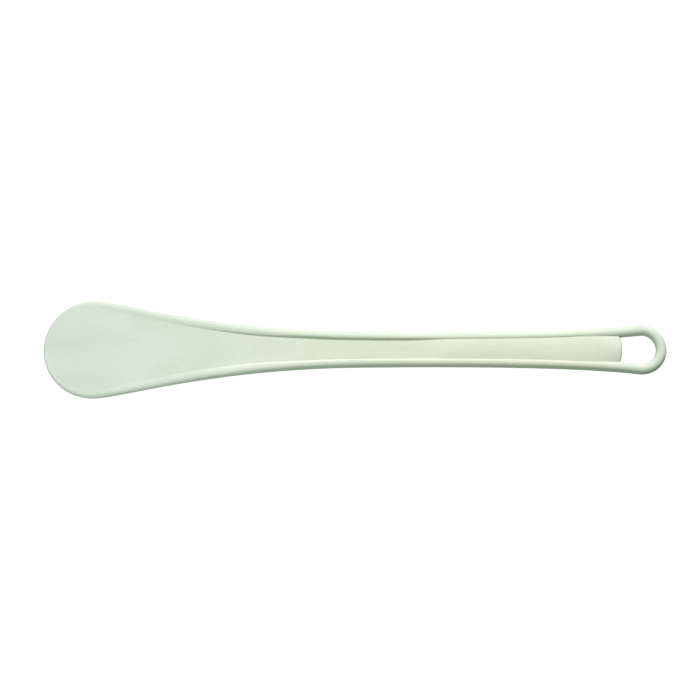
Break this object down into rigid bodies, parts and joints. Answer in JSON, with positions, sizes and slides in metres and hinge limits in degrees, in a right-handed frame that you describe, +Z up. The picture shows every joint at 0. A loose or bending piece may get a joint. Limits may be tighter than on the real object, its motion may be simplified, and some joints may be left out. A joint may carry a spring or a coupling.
{
  "type": "mixing spatula",
  "caption": "Flat moulded mixing spatula with a round blade, rim rods, a recessed web, a crowned grip and a hang loop.",
  "frame": {"origin": "on the surface that the spatula lies on, under the middle of its box", "axes": "+X along the spatula from the blade to the hang loop, +Z up through its thickness, +Y across it"},
  "size_m": [0.3, 0.048, 0.005],
  "materials": {
    "plastic": "pale greenish off-white moulded plastic, satin, with a faint moulded grain"
  },
  "bodies": {
    "root": {"spatula": "plastic"}
  },
  "joints": []
}
